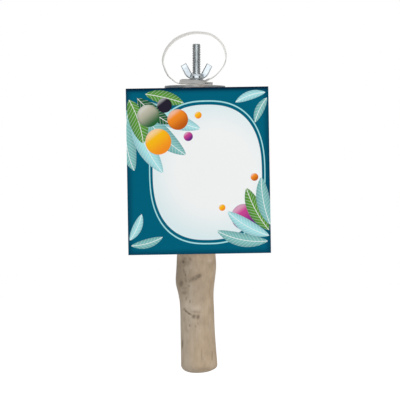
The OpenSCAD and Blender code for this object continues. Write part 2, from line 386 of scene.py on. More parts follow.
def grain(spot, stretch, detail=3.0, rough=0.5):
    """Noise with features of a given size along X, Y and Z, in mm."""
    scaled = vector_of("MULTIPLY", spot, [1 / (s * MM) for s in stretch])
    return put(spot.tree, "ShaderNodeTexNoise",
               {"Vector": scaled, "Scale": 1.0, "Detail": detail, "Roughness": rough})


def new_finish(name):
    """A material, its shader and the piece's own coordinates."""
    finish = bpy.data.materials.new(name)
    finish.use_nodes = True
    spot = put(finish.node_tree, "ShaderNodeTexCoord", output="Object")
    return finish, finish.node_tree.nodes["Principled BSDF"], spot


def layer(finish, name):
    """A number painted on the mesh."""
    return put(finish.node_tree, "ShaderNodeAttribute", output="Fac", attribute_name=name)


def end_finish(shader, colour, roughness, relief, depth, specular=0.5, metal=0.0):
    """Gives a shader its inputs. The relief is a height of 0 to 1 with a depth in metres."""
    bump = put(relief.tree, "ShaderNodeBump",
               {"Height": relief, "Strength": 1.0, "Distance": depth}, output="Normal")
    fill(shader, {"Base Color": colour, "Roughness": roughness, "Normal": bump,
                  "Specular IOR Level": specular, "Metallic": metal})


wood, shader, spot = new_finish("peeled_wood")
across, upward = spot.axis(0), spot.axis(2)
broad = grain(spot, (16, 16, 45))
cloudy = grain(spot, (3.5, 3.5, 8), 4, 0.6)
fibre = grain(spot, (0.9, 0.9, 24), 4, 0.6)
speck = grain(spot, (0.5, 0.5, 1.4), 2)
blotch = grain(spot, (5, 5, 9), 2)
# Greyer to the left and warmer to the right, with the left darker where bark was close
warm = sum_of("ADD", ramp(across, -12 * MM, 9 * MM), ramp(broad, 0.35, 0.65, -0.25, 0.25),
              clamp=True)
colour = tint(warm, (0.508, 0.424, 0.326), (0.488, 0.369, 0.250))
aged = (ramp(across, 11 * MM, -11 * MM, 0.05, 0.95) * ramp(upward, -162 * MM, -138 * MM)
        * ramp(broad, 0.30, 0.60, 0.75, 1.15))
colour = tint(sum_of("MULTIPLY", aged, 0.58, clamp=True), colour, (0.235, 0.178, 0.122))
# Each kind of figure in the wood: where it starts, where it is full, its share and colour
for figure, start, full, share, shade in (
        (blotch, 0.48, 0.72, 0.30, (0.340, 0.265, 0.185)),
        (blotch, 0.50, 0.30, 0.30, (0.600, 0.500, 0.390)),
        (cloudy, 0.42, 0.72, 0.40, (0.330, 0.255, 0.180)),
        (fibre, 0.48, 0.78, 0.22, (0.275, 0.205, 0.140)),
        (speck, 0.52, 0.80, 0.30, (0.580, 0.480, 0.370))):
    colour = tint(ramp(figure, start, full, 0.0, share), colour, shade)
# Painted highlight: the raised places are coloured paler, as if catching the light
colour = tint(layer(wood, "pale") * 0.70, colour, (0.600, 0.500, 0.400))
stain_and_shade = layer(wood, "stain") * ramp(cloudy, 0.25, 0.60, 0.60, 1.0)
colour = tint(sum_of("MULTIPLY", stain_and_shade, 0.85, clamp=True), colour, (0.130, 0.097, 0.066))
# End grain: wavy growth rings round the pith
ring_width, ring_waviness = 1.5 * MM, 1.6 * MM
from_pith = vector_of("SUBTRACT", spot, (*foot_centre, 0))
from_pith = vector_of("LENGTH", vector_of("MULTIPLY", from_pith, (1, 1, 0)))
year = sum_of("SINE", (cloudy * ring_waviness + from_pith) * (2 * math.pi / ring_width))
end_grain = tint(ramp(year, -0.6, 1.0), (0.560, 0.455, 0.345), (0.450, 0.350, 0.255))
colour = tint(layer(wood, "end_grain"), colour, end_grain)
# Painted light: the colour is paler round the card's lower edge, to lift the shade the card
# casts there
painted_light_under_card = (ramp(upward, -129 * MM, -121.5 * MM, 0.0, 0.55)
             * ramp(upward, -104 * MM, -121 * MM, 0.15, 1.0))
colour = put(wood.node_tree, "ShaderNodeVectorMath", {0: colour, "Scale": painted_light_under_card + 1.0},
             operation="SCALE")
end_finish(shader, colour, ramp(fibre, 0.3, 0.7, 0.60, 0.80), fibre * 0.7 + speck * 0.3,
           0.12 * MM, specular=0.30)
branch_mesh.materials.append(wood)
show("peeled_branch", branch_mesh, "perch", "peeled_wood", "branch")


# Hanger bolt
# A steel rod, zinc plated, with a 1/4 in machine thread rolled on the stud and a coarse
# wood thread with a gimlet point, which is screwed into the branch up to a plain shank.
bolt_low, bolt_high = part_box("hanger_bolt")
stud_radius = 3.175 * MM
shank_top = branch_high.z - 5 * MM
thread_overlap = 1.5 * MM
thread_sides = 56
thread_rows_per_turn = 16
# The rows start below the thread and end above it, and are pressed flat against its ends
spare_turns, start_below, cut_above = 4.0, 2.5, 0.3
# With it, rounding can't put a row that starts a turn at the end of the turn before
phase_nudge = 0.0005
pale_roots_to, dark_roots_from = 0.4 * MM, 1.6 * MM
merge_reach = 0.002 * MM


def named_inputs(tree, kinds):
    """Gives a tree named inputs, and gives back the wires that carry them."""
    for name, kind in kinds.items():
        tree.interface.new_socket(name, in_out="INPUT", socket_type=kind)
    given = tree.nodes.new("NodeGroupInput")
    return {s.name: Wire(tree, s) for s in given.outputs if s.name}


def shape_tree(name, sizes):
    """An empty Geometry Nodes tree with named sizes, and the wires that carry them."""
    made = bpy.data.node_groups.new(name, "GeometryNodeTree")
    made.interface.new_socket("Geometry", in_out="OUTPUT", socket_type="NodeSocketGeometry")
    return made, named_inputs(made, {
        "Geometry": "NodeSocketGeometry", "Finish": "NodeSocketMaterial",
        **dict.fromkeys(sizes, "NodeSocketFloat")})


def paint(shape, name, value):
    """Keeps a number at each point of a shape, for later nodes and for its material."""
    return put(shape.tree, "GeometryNodeStoreNamedAttribute",
               {0: shape, "Name": name, "Value": value}, data_type="FLOAT", domain="POINT")


def end_tree(given, shape):
    """Closes a tree: real geometry, its finish, and the way out."""
    tree = shape.tree
    real = put(tree, "GeometryNodeRealizeInstances", {0: shape})
    done = put(tree, "GeometryNodeSetMaterial", {0: real, "Material": given["Finish"]})
    fill(tree.nodes.new("NodeGroupOutput"), {0: done})


def finished(*holders):
    """The first object's mesh as its modifiers make it. The objects aren't kept."""
    graph = bpy.context.evaluated_depsgraph_get()
    mesh = bpy.data.meshes.new_from_object(holders[0].evaluated_get(graph), depsgraph=graph)
    holders[0].modifiers.clear()
    for holder in holders:
        bpy.data.objects.remove(holder)
    return mesh


def grow(name, tree, finish, sizes, start=None):
    """Runs a tree with its sizes and gives back a plain mesh."""
    holder = place_in_scene(name, start or bpy.data.meshes.new(name))
    modifier = holder.modifiers.new("shape", "NODES")
    modifier.node_group = tree
    sockets = {s.name: s.identifier for s in tree.interface.items_tree
               if s.in_out == "INPUT"}
    for size, value in {"Finish": finish, **sizes}.items():
        modifier[sockets[size]] = value
    return finished(holder)


# A helical thread on a grid that is rolled into a tube: its columns go round, and its rows
# climb a pitch for each turn, so every crest runs along a row
thread_sizes = ["Bottom", "Top", "Pitch", "Root Radius", "Crest Radius", "Root Share",
                "Crest Share", "Bevel", "Point Length"]
thread, given = shape_tree("rolled_thread", thread_sizes)
bottom, top, pitch, root, crest, root_share, crest_share, bevel, point = (
    given[size] for size in thread_sizes)
turns = sum_of("CEIL", (top - bottom) / pitch)
row_count = put(thread, "FunctionNodeFloatToInt",
                {0: (turns + spare_turns) * thread_rows_per_turn + 1.0},
                rounding_mode="ROUND")
sheet = put(thread, "GeometryNodeMeshGrid",
            {"Size X": 1.0, "Size Y": 1.0, "Vertices X": thread_sides + 1,
             "Vertices Y": row_count})
place = put(thread, "GeometryNodeInputPosition")
round_share = place.axis(0) + 0.5
row = (place.axis(1) + 0.5) * (turns + spare_turns)
height = (row - start_below + round_share) * pitch + bottom
# The profile: a flat root, a rising flank, a flat crest and a falling flank in each pitch
phase = sum_of("FRACT", row + phase_nudge)
flank = (1.0 - (root_share + crest_share)) * 0.5
ridge = least((phase - root_share) / flank, (1.0 - phase) / flank)
ridge = most(least(ridge, 1.0), 0.0)
radius = ridge * (crest - root) + root
# The bevel at the top, the point at the bottom, and the flat ends
z = least(most(height, bottom), top)
room = top - z
radius = least(radius, crest - bevel + room) * least((z - bottom) / point, 1.0)
radius = radius * sum_of("LESS_THAN", height - top, pitch * cut_above)
angle = round_share * (2 * math.pi)
spot = put(thread, "ShaderNodeCombineXYZ", {
    0: radius * sum_of("COSINE", angle), 1: radius * sum_of("SINE", angle), 2: z})
rolled = put(thread, "GeometryNodeSetPosition", {0: sheet, "Position": spot})
# Painted shade and dirt: the valleys between crests are marked to be coloured dark, less so
# near the top end
rolled = paint(rolled, "valley", (1.0 - ridge) * ramp(room, pale_roots_to, dark_roots_from))
end_tree(given, put(thread, "GeometryNodeMergeByDistance",
                    {0: rolled, "Distance": merge_reach}))


def zinc(name, bright, dull, roughness, shade_and_dirt_layer=None, warmth=0.0,
         brushed=(0.35, 0.35, 0.35), metal=1.0):
    """Zinc plate on steel: cool and bright, clouded by handling, and dark in the hollows that a
    given layer marks: painted shade and dirt.
    """
    finish, shader, spot = new_finish(name)
    cloud = grain(spot, (4, 4, 4), 4, 0.6)
    spangle = grain(spot, brushed, 2)
    colour = tint(ramp(cloud, 0.38, 0.66), bright, dull)
    if warmth:
        stained = grain(spot, (9, 9, 3), 3, 0.65)
        colour = tint(ramp(stained, 0.47, 0.66, 0.0, warmth), colour, (0.42, 0.29, 0.20))
    colour = tint(ramp(spangle, 0.40, 0.75, 0.0, 0.25), colour, dull)
    # Painted shade and dirt in the hollows the layer marks
    if shade_and_dirt_layer:
        colour = tint(ramp(layer(finish, shade_and_dirt_layer), 0.60, 1.0, 0.0, 0.95), colour,
                      (0.030, 0.034, 0.036))
    end_finish(shader, colour, ramp(cloud, 0.30, 0.70, roughness - 0.06, roughness + 0.10),
               spangle, 0.012 * MM, metal=metal)
    return finish


def combine(operation, *meshes):
    """One closed solid from several that overlap, or one that others are cut from."""
    holders = [place_in_scene("solid", face_outwards(mesh)) for mesh in meshes]
    for other in holders[1:]:
        joint = holders[0].modifiers.new("combine", "BOOLEAN")
        joint.operation = operation
        joint.solver = "EXACT"
        joint.object = other
    return finished(*holders)


bright_thread = zinc("zinc_thread", (0.88, 0.93, 0.95), (0.76, 0.81, 0.84), 0.27, "valley")
stud = grow("stud", thread, bright_thread, {
    "Bottom": shank_top - thread_overlap, "Top": bolt_high.z, "Pitch": 1.27 * MM,
    "Root Radius": 2.49 * MM, "Crest Radius": stud_radius, "Root Share": 0.25,
    "Crest Share": 0.125, "Bevel": 0.75 * MM, "Point Length": 1 * MM})
screw = grow("wood_screw", thread, bright_thread, {
    "Bottom": bolt_low.z, "Top": shank_top, "Pitch": 2.5 * MM,
    "Root Radius": 2.2 * MM, "Crest Radius": 3.3 * MM, "Root Share": 0.60,
    "Crest Share": 0.02, "Bevel": 1.3 * MM, "Point Length": 6 * MM})
bolt_mesh = face_outwards(combine("UNION", stud, screw), 50)
show("threaded_hanger_bolt", bolt_mesh, "perch", "zinc_thread", "hanger_bolt")


# Washers
# Two wide washers stamped from steel strip and zinc plated: the punch left a round edge on
# one side and a sharper one on the other. The cage's wires are clamped between them.
washer_sides = 160
washer_hole = stud_radius + 1.4 * MM
washer_bands = 6
roll_over = 0.60 * MM
burr_round = 0.15 * MM
arc_steps = 5


def arc(centre, radius, start, end, steps):
    """Points round part of a circle, with angles in degrees."""
    return [(centre[0] + radius * math.cos(math.radians(start + (end - start) * n / steps)),
             centre[1] + radius * math.sin(math.radians(start + (end - start) * n / steps)))
            for n in range(steps + 1)]


def ring_faces(sides, count):
    """Faces round a closed ring of sides, each with the same count of points."""
    return [(s * count + n, (s + 1) % sides * count + n,
             (s + 1) % sides * count + (n + 1) % count, s * count + (n + 1) % count)
            for s in range(sides) for n in range(count)]


def turned_ring(name, outline, sides):
    """A closed ring from a closed outline of radius and height."""
    points = [(r * math.cos(2 * math.pi * s / sides), r * math.sin(2 * math.pi * s / sides), z)
              for s in range(sides) for r, z in outline]
    return face_outwards(mesh_of(name, points, ring_faces(sides, len(outline))), 35)


def washer_outline(low, high, rim, round_top, round_bottom):
    """A washer's section, with a rounding of its own on each side."""
    a, b = round_top, round_bottom
    mid_steps = [rim - a - (rim - a - washer_hole - a) * n / washer_bands
                 for n in range(1, washer_bands)]
    under = [(r, low) for r in reversed(mid_steps)]
    over = [(r, high) for r in mid_steps]
    return (arc((washer_hole + b, low + b), b, 180, 270, arc_steps) + under
            + arc((rim - b, low + b), b, 270, 360, arc_steps)
            + arc((rim - a, high - a), a, 0, 90, arc_steps) + over
            + arc((washer_hole + a, high - a), a, 90, 180, arc_steps))


dull_plate = zinc("zinc_washer", (0.46, 0.46, 0.46), (0.35, 0.34, 0.34), 0.50, warmth=0.40,
                  brushed=(1.6, 0.25, 0.25), metal=0.5)
for washer, piece, rounds in (
        ("lower_washer", "lower_fender_washer", (roll_over, burr_round)),
        ("upper_washer", "upper_fender_washer", (burr_round, roll_over))):
    low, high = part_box(washer)
    mesh = turned_ring(piece, washer_outline(low.z, high.z, (high.x - low.x) / 2, *rounds),
                       washer_sides)
    mesh.transform(Matrix.Translation(((low.x + high.x) / 2, 0, 0)))
    mesh.materials.append(dull_plate)
    show(piece, mesh, washer, "zinc_washer", washer)


# Shelf card
# Satin-printed white board, scored and folded over the lower washer, with a hole for the
# stud. It has settled a little down to the left. The inside and the cut edges are bare.
card_low, card_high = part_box("card_front_panel")
top_low, top_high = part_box("card_top_panel")
board = card_high.y - card_low.y
fold_z = card_high.z - board / 2
card_width = card_high.x - card_low.x
card_drop = fold_z - card_low.z
card_middle = (card_low.x + card_high.x) / 2
card_settle = math.radians(0.94)
card_columns = 40
card_rows = 48
card_bow = 0.30 * MM
wave_share, wave_length, wave_start = 0.35, 2.2, 1.1
crown_steps = 6
card_hole = stud_radius + 0.8 * MM
flat_reach = -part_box("upper_washer")[0].x
settle_reach = 2.5 * MM
top_corner_steps = 24
top_rings = [0, 0.03, 0.1, 0.3, 0.55, 0.8, 0.9, 0.96, 1]
least_cosine = 1e-9


def flutter(x, drop):
    """How far the board stands out of its plane, in metres, at a place on a panel."""
    share = drop / card_drop
    across = 2 * (x - card_middle) / card_width
    wave = wave_share * share * math.sin(wave_length * across + wave_start)
    return card_bow * (share * (1 - across ** 2) + wave)


def hanging_panel(name, side):
    """A folded panel: its printed face outside, its rounded fold on top, and its own map."""
    fold_y = side * abs(card_low.y + card_high.y) / 2
    half = board / 2
    drops = [card_drop * n / card_rows for n in range(card_rows + 1)]
    printed = [(half, drop) for drop in drops]
    bare = [(-half, drop) for drop in reversed(drops)]
    crown = [(out, -up) for out, up in arc((0, 0), half, 180, 0, crown_steps)[1:-1]]
    section = printed + bare + crown
    count = len(section)
    turn = Matrix.Rotation(-card_settle, 3, "Y")
    points, marks = [], []
    for c in range(card_columns + 1):
        x = card_low.x + card_width * c / card_columns
        for out, drop in section:
            stands = side * (out + flutter(x, max(drop, 0)))
            points.append(turn @ Vector((x, stands, -drop)) + Vector((0, fold_y, fold_z)))
            marks.append((c / card_columns, 1 - max(drop, 0) / card_drop))
    faces = [(c * count + n, c * count + (n + 1) % count,
              (c + 1) * count + (n + 1) % count, (c + 1) * count + n)
             for c in range(card_columns) for n in range(count)]
    is_bare = [card_rows <= n <= 2 * card_rows
               for c in range(card_columns) for n in range(count)]
    last = 2 * card_rows + 1
    for base in (0, card_columns * count):
        faces += [(base + n, base + n + 1, base + last - n - 1, base + last - n)
                  for n in range(card_rows)]
        faces.append([base] + [base + n for n in range(last, count)])
        is_bare += [True] * (card_rows + 1)
    mesh = mesh_of(name, points, faces)
    mesh.polygons.foreach_set("material_index", [int(b) for b in is_bare])
    chart = mesh.uv_layers.new(name="print")
    for loop in mesh.loops:
        chart.data[loop.index].uv = marks[loop.vertex_index]
    return face_outwards(mesh, 40)


def top_panel(name):
    """The panel between the folds, flat under the washer and following the folds outside."""
    reach_x, reach_y = top_high.x - card_middle, top_high.y
    corner = math.atan2(reach_y, reach_x)
    steps = [n / top_corner_steps for n in range(top_corner_steps)]
    quarter = [corner * n for n in steps]
    quarter += [corner + (math.pi / 2 - corner) * n for n in steps]
    angles = quarter + [math.pi - a for a in reversed(quarter[1:] + [math.pi / 2])]
    angles += [a + math.pi for a in angles]
    section = ([(share, top_high.z) for share in top_rings]
               + [(share, top_low.z) for share in reversed(top_rings)])
    points = []
    for angle in angles:
        edge = min(reach_x / max(abs(math.cos(angle)), least_cosine),
                   reach_y / max(abs(math.sin(angle)), least_cosine))
        for share, z in section:
            reach = card_hole + (edge - card_hole) * share
            x, y = reach * math.cos(angle), reach * math.sin(angle)
            past = min(max((reach - flat_reach) / settle_reach, 0), 1)
            settled = x * math.tan(card_settle) * past ** 2 * (3 - 2 * past)
            points.append((x + card_middle, y, z + settled))
    mesh = mesh_of(name, points, ring_faces(len(angles), len(section)))
    mesh.polygons.foreach_set("material_index", [
        int(n >= len(top_rings) - 1) for angle in angles for n in range(len(section))])
    return face_outwards(mesh, 40)


# The print: a plain garden pattern in flat inks with soft shading, drawn by rule
painted_fold_shade = (0.001, 0.016, 0.040)
navy = (0.001, 0.050, 0.098)
teal = (0.0004, 0.119, 0.195)
mint = (0.215, 0.520, 0.500)
aqua = (0.380, 0.750, 0.780)
leaf_green = (0.110, 0.320, 0.040)
deep_green = (0.020, 0.120, 0.035)
sun_yellow = (0.940, 0.500, 0.010)
orange = (0.900, 0.270, 0.020)
rust = (0.50, 0.10, 0.01)
olive_grey = (0.500, 0.480, 0.380)
near_black = (0.020, 0.016, 0.030)
violet = (0.120, 0.022, 0.210)
magenta = (0.600, 0.065, 0.290)
paper_white = (0.895, 0.910, 0.910)
pale_sky = (0.690, 0.830, 0.855)
width_mm, height_mm = card_width / MM, card_drop / MM
# Ink fades in between these distances inside its outline, in mm
ink_edge = (-0.10, 0.14)
rib_edge = (0.28, 0.12)
vein_slope, vein_rate = 0.9, 2.4
blade_power, least_hump = 0.75, 0.0005
light_from = (-0.6, 0.8, 0)


def mask_tree(name, **sizes):
    """A group that turns a place on the print into shares of ink, and its named inputs."""
    made = bpy.data.node_groups.new(name, "ShaderNodeTree")
    kinds = {size: "NodeSocket" + kind for size, kind in sizes.items()}
    return made, named_inputs(made, {"Place": "NodeSocketVector", **kinds})


def end_masks(tree, **masks):
    """Closes a group, with its shares as named outputs."""
    for name in masks:
        tree.interface.new_socket(name, in_out="OUTPUT", socket_type="NodeSocketFloat")
    fill(tree.nodes.new("NodeGroupOutput"), masks)


def masks_of(group, place, **sizes):
    """A group at work in another tree, with its outputs by name."""
    made = place.tree.nodes.new("ShaderNodeGroup")
    made.node_tree = group
    fill(made, {"Place": place, **sizes})
    return {s.name: Wire(place.tree, s) for s in made.outputs}


# A leaf from its stem to its tip, with a midrib and side veins; sizes are in millimetres
leaf_shape, given = mask_tree("leaf_shape", Stem="Vector", Tip="Vector", Fat="Float",
                              Bend="Float")
spine = vector_of("SUBTRACT", given["Tip"], given["Stem"])
from_stem = vector_of("SUBTRACT", given["Place"], given["Stem"])
length = vector_of("LENGTH", spine)
along = vector_of("DOT_PRODUCT", spine, from_stem) / (length * length)
hump = most(along * (1.0 - along), 0.0)
beside = vector_of("CROSS_PRODUCT", spine, from_stem).axis(2) / length
off_rib = abs(hump * length * given["Bend"] + beside)
half_width = (hump * 4.0) ** blade_power * length * given["Fat"]
veins = sum_of("SINE", (along * length - off_rib * vein_slope) * vein_rate)
end_masks(leaf_shape,
          Blade=(ramp(half_width - off_rib, *ink_edge)
                 * sum_of("GREATER_THAN", hump, least_hump)),
          Rib=ramp(off_rib, *rib_edge), Veins=ramp(veins, 0.72, 1.0),
          Edge=off_rib / most(half_width, 0.01))

# A round fruit or spot, with a soft light to its upper left
fruit_shape, given = mask_tree("fruit_shape", Middle="Vector", Radius="Float")
off_middle = vector_of("SUBTRACT", given["Place"], given["Middle"])
reach = vector_of("LENGTH", off_middle)
lit = vector_of("DOT_PRODUCT", off_middle, light_from) / given["Radius"]
end_masks(fruit_shape, Body=ramp(given["Radius"] - reach, *ink_edge), Lit=lit,
          Rim=reach / given["Radius"])


def print_leaf(place, colour, stem, tip, ink, fat, bend):
    """A leaf over a colour: from stem to tip, its width and how far it bends."""
    made = masks_of(leaf_shape, place, Stem=(*stem, 0), Tip=(*tip, 0), Fat=fat, Bend=bend)
    shaded = tint(ramp(made["Edge"], 0.2, 1.1, 0.0, 0.30), ink, navy)
    veined = tint(made["Veins"] * 0.35, shaded, paper_white)
    veined = tint(made["Rib"], veined, paper_white)
    return tint(made["Blade"], colour, veined)


def print_fruit(place, colour, middle, radius, ink, dark_ink):
    """A round fruit over a colour, darker away from the light and at its rim."""
    made = masks_of(fruit_shape, place, Middle=(*middle, 0), Radius=radius)
    shaded = tint(ramp(made["Lit"], 0.5, -0.9), ink, dark_ink)
    shaded = tint(ramp(made["Rim"], 0.75, 1.05, 0.0, 0.45), shaded, dark_ink)
    shaded = tint(ramp(made["Lit"], 0.35, 0.85, 0.0, 0.35), shaded, paper_white)
    return tint(made["Body"], colour, shaded)


def print_place(finish):
    """The panel's own map in mm from the middle of the fold, and how far its edges are."""
    chart = put(finish.node_tree, "ShaderNodeUVMap", uv_map="print")
    place = vector_of("MULTIPLY", chart, (width_mm, height_mm, 0))
    place = vector_of("SUBTRACT", place, (width_mm / 2, height_mm, 0))
    across, upward = place.axis(0), place.axis(1)
    off_middle = abs(upward + height_mm / 2)
    return place, across, upward, width_mm / 2 - abs(across), height_mm / 2 - off_middle


def print_ground(upward, side, end):
    """Flat ink that gets darker towards the cut edges, with painted shade along the fold."""
    edged = tint(ramp(side, -1.0, 5.5) * ramp(end, -1.0, 5.0), navy, teal)
    return tint(ramp(upward, -3.2, 0.0), edged, painted_fold_shade)


def print_finish(shader, colour, spot, side, end):
    """Satin ink on board, with nicks along the edges where the board shows."""
    fuzz = grain(spot, (0.7, 0.7, 0.7), 3, 0.7)
    nick = ramp(fuzz * -1.1 + least(side, end), -0.68, -0.80)
    mottle = grain(spot, (2.5, 2.5, 2.5))
    end_finish(shader, tint(nick, colour, paper_white), ramp(mottle, 0.3, 0.7, 0.36, 0.46),
               grain(spot, (0.25, 0.25, 0.45), 3, 0.6), 0.010 * MM, specular=0.01)


front_print, shader, spot = new_finish("front_print")
place, across, upward, side, end = print_place(front_print)
# A pale oval inside a thin ring, palest round a place of its own
oval_middle, oval_reach, oval_power = (6.5, -62.0), (40.0, 49.5), 2.5
palest, ring_place = (12.0, -60.0, 0.0), 1.055
to_side = abs((across - oval_middle[0]) / oval_reach[0])
to_end = abs((upward - oval_middle[1]) / oval_reach[1])
oval = (to_side ** oval_power + to_end ** oval_power) ** (1 / oval_power)
glow = vector_of("DISTANCE", place, palest)
field = tint(ramp(glow, 26.0, 58.0), paper_white, pale_sky)
colour = tint(ramp(oval, 1.003, 0.997), print_ground(upward, side, end), field)
colour = tint(ramp(abs(oval - ring_place), 0.013, 0.007), colour, aqua)
# Leaves hang down from the upper left, with fruit among them
for leaf in (
        ((-50, -14), (-47, -60), mint, 0.15, 0.35),
        ((-46, -12), (-26, -62), aqua, 0.13, 0.30),
        ((-44, -11), (-9, -49), mint, 0.14, 0.25),
        ((-42, -9), (2, -30), aqua, 0.13, 0.20),
        ((-50, -8), (-40, -40), leaf_green, 0.20, -0.20),
        ((-44, -7), (-20, -26), deep_green, 0.18, 0.15),
        ((-38, -4), (-10, -11), leaf_green, 0.17, -0.10)):
    colour = print_leaf(place, colour, *leaf)
# The last three are a large berry and two small ones at the lower right
for fruit in (
        ((-29, -39), 9.5, sun_yellow, orange), ((-14.5, -23), 7.6, orange, rust),
        ((-36, -20), 8.2, olive_grey, deep_green), ((-24, -12.5), 5.4, near_black, near_black),
        ((-7, -35.5), 3.4, magenta, violet), ((0.5, -20), 2.6, sun_yellow, orange),
        ((33, -95), 9.5, magenta, violet), ((17, -88), 2.4, sun_yellow, orange),
        ((41, -66), 2.8, orange, rust)):
    colour = print_fruit(place, colour, *fruit)
# A smaller spray rises from the lower right, and a few leaves fill the other corners
for leaf in (
        ((50, -113), (13, -105), mint, 0.13, -0.30),
        ((51, -109), (21, -91), aqua, 0.14, -0.25),
        ((51, -105), (35, -74), leaf_green, 0.16, -0.20),
        ((52, -101), (46, -66), mint, 0.14, -0.20),
        ((50, -4), (28, -11), aqua, 0.14, 0.25),
        ((51, -8), (42, -26), mint, 0.16, 0.20),
        ((-50, -115), (-27, -109), mint, 0.14, 0.25),
        ((-51, -111), (-42, -92), aqua, 0.16, 0.20)):
    colour = print_leaf(place, colour, *leaf)
print_finish(shader, colour, spot, side, end)

# The back has a pale field with rows of leaves: its half width and half height, in mm
field_reach = (41.0, 44.0)
back_print, shader, spot = new_finish("back_print")
place, across, upward, side, end = print_place(back_print)
inset = most(abs(across) - field_reach[0], abs(upward + height_mm / 2) - field_reach[1])
colour = tint(ramp(inset, 0.12, -0.12), print_ground(upward, side, end), paper_white)
for column in range(4):
    for row in range(4):
        stem = (-33 + 19 * column, -26 - 22 * row)
        tip = (stem[0] + (9 if row % 2 else -9) + 4, stem[1] - 11)
        colour = print_leaf(place, colour, stem, tip, (mint, aqua)[(row + column) % 2],
                            0.2, 0.2)
print_finish(shader, colour, spot, side, end)

top_print, shader, spot = new_finish("top_print")
side = width_mm / 2 - abs(spot.axis(0) / MM)
edge = top_high.y / MM - abs(spot.axis(1) / MM)
colour = tint(ramp(side, 0.0, 8.0), navy, teal)
# Painted shade: darker towards the folds at the front and back
colour = tint(ramp(edge, 3.0, 0.0), colour, painted_fold_shade)
scuffed = grain(spot, (0.8, 0.5, 0.5), 3, 0.7)
colour = tint(ramp(scuffed * -1.0 + edge, -0.62, -0.74, 0.0, 0.6), colour, paper_white)
end_finish(shader, colour, ramp(scuffed, 0.3, 0.7, 0.38, 0.48),
           grain(spot, (0.3, 0.3, 0.3), 3, 0.6), 0.010 * MM, specular=0.05)

bare_board, shader, spot = new_finish("bare_board")
pulp = grain(spot, (0.6, 0.6, 1.2), 4, 0.65)
colour = tint(ramp(pulp, 0.35, 0.70), (0.80, 0.79, 0.76), (0.68, 0.665, 0.63))
end_finish(shader, colour, ramp(pulp, 0.3, 0.7, 0.75, 0.88), pulp, 0.02 * MM)

for mesh, ink, body, node in (
        (hanging_panel("card_front", -1), front_print, "card_front", "card_front_panel"),
        (hanging_panel("card_back", 1), back_print, "card_back", "card_back_panel"),
        (top_panel("card_top"), top_print, "card", "card_top_panel")):
    mesh.materials.append(ink)
    mesh.materials.append(bare_board)
    show(mesh.name, mesh, body, "printed_card", node)


# Hang strap
# A strip of milky polyethylene, punched near both ends and bent round so that the stud goes
# through both holes. The nut holds the stacked ends, and the bend springs open to a loop.
strap_width = 20 * MM
strap_thickness = 0.8 * MM
strap_lean = math.radians(7)
strap_hole = stud_radius + 0.8 * MM
strap_stack = 2.8 * MM
strap_seat = 0.1 * MM
tab_reach = 12 * MM
washer_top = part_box("upper_washer")[1].z
strap_base = washer_top + strap_seat + strap_width / 2 * math.sin(strap_lean)
loop_half_width = 23.35 * MM
loop_height = (bolt_high.z + 8.5 * MM - strap_base) / math.cos(strap_lean)
route_steps = 30
face_cuts = 11.0
press_softness, bend_softness = 1.5 * MM, 2.0 * MM
rear_rise, bend_start = 0.07, 0.9
drill_margin, drill_sides = 2 * MM, 96
strap_sizes = {"Width": strap_width, "Thickness": strap_thickness, "Edge Radius": 0.22 * MM,
               "Step": 0.7 * MM, "Flare": 1.35, "Skew": -0.010, "End Skew": 0.105,
               "Hub": 5.0 * MM, "Level": 0.109, "Droop": 0.496, "Ease": 0.070, "Twist": 1.1}
# The middle of the strap from its lower end round to its upper one: shares of the loop
loop_shares = [
    (-0.385, 0.000), (-0.527, 0.003), (-0.658, 0.030), (-0.782, 0.089), (-0.915, 0.172),
    (-1.063, 0.393), (-1.021, 0.572), (-0.852, 0.743), (-0.585, 0.878), (-0.200, 0.967),
    (0.227, 0.972), (0.542, 0.914), (0.820, 0.754), (0.936, 0.548), (0.875, 0.360),
    (0.612, 0.162), (0.363, 0.072), (0.236, 0.034)]
strap_route = [(tab_reach, strap_thickness / 2), (0, strap_thickness / 2)]
strap_route += [(x * loop_half_width, strap_thickness / 2 + up * loop_height)
                for x, up in loop_shares]
strap_route += [(0, strap_stack - strap_thickness / 2),
                (-tab_reach, strap_stack - strap_thickness / 2)]


def through(points, steps):
    """Points on a smooth curve through others."""
    rows = [Vector(p) for p in points]
    made = []
    for i in range(len(rows) - 1):
        a, b = rows[max(i - 1, 0)], rows[i]
        c, d = rows[i + 1], rows[min(i + 2, len(rows) - 1)]
        for n in range(steps):
            u = n / steps
            made.append((b * 2 + (c - a) * u + (a * 2 - b * 5 + c * 4 - d) * u ** 2
                         + (b * 3 - a - c * 3 + d) * u ** 3) / 2)
    return made + [rows[-1]]


def soft_excess(wire, softness):
    """How far a value is above 0, with a soft start."""
    return sum_of("SMOOTH_MAX", wire, 0.0, softness)


# A strip with round edges that follows a path, and knows how far along it each point is
strip, given = shape_tree("bent_strip", strap_sizes)
path = put(strip, "GeometryNodeResampleCurve",
           {"Curve": given["Geometry"], "Length": given["Step"]}, mode="LENGTH")
path = paint(path, "along", put(strip, "GeometryNodeSplineParameter"))
outline = put(strip, "GeometryNodeCurvePrimitiveQuadrilateral",
              {"Width": given["Width"], "Height": given["Thickness"]}, mode="RECTANGLE")
# Only the two wide faces are divided, so that the corners have room to be rounded
narrow = sum_of("MODULO", put(strip, "GeometryNodeInputIndex"), 2.0)
outline = put(strip, "GeometryNodeSubdivideCurve",
              {0: outline, "Cuts": (1.0 - narrow) * face_cuts})
outline = put(strip, "GeometryNodeFilletCurve",
              {0: outline, "Radius": given["Edge Radius"], "Count": 4}, mode="POLY")
swept = put(strip, "GeometryNodeCurveToMesh",
            {"Curve": path, "Profile Curve": outline, "Fill Caps": True})
here = put(strip, "GeometryNodeInputPosition")
side, back, up = (here.axis(n) for n in range(3))
along = put(strip, "GeometryNodeInputNamedAttribute", {"Name": "along"}, data_type="FLOAT")
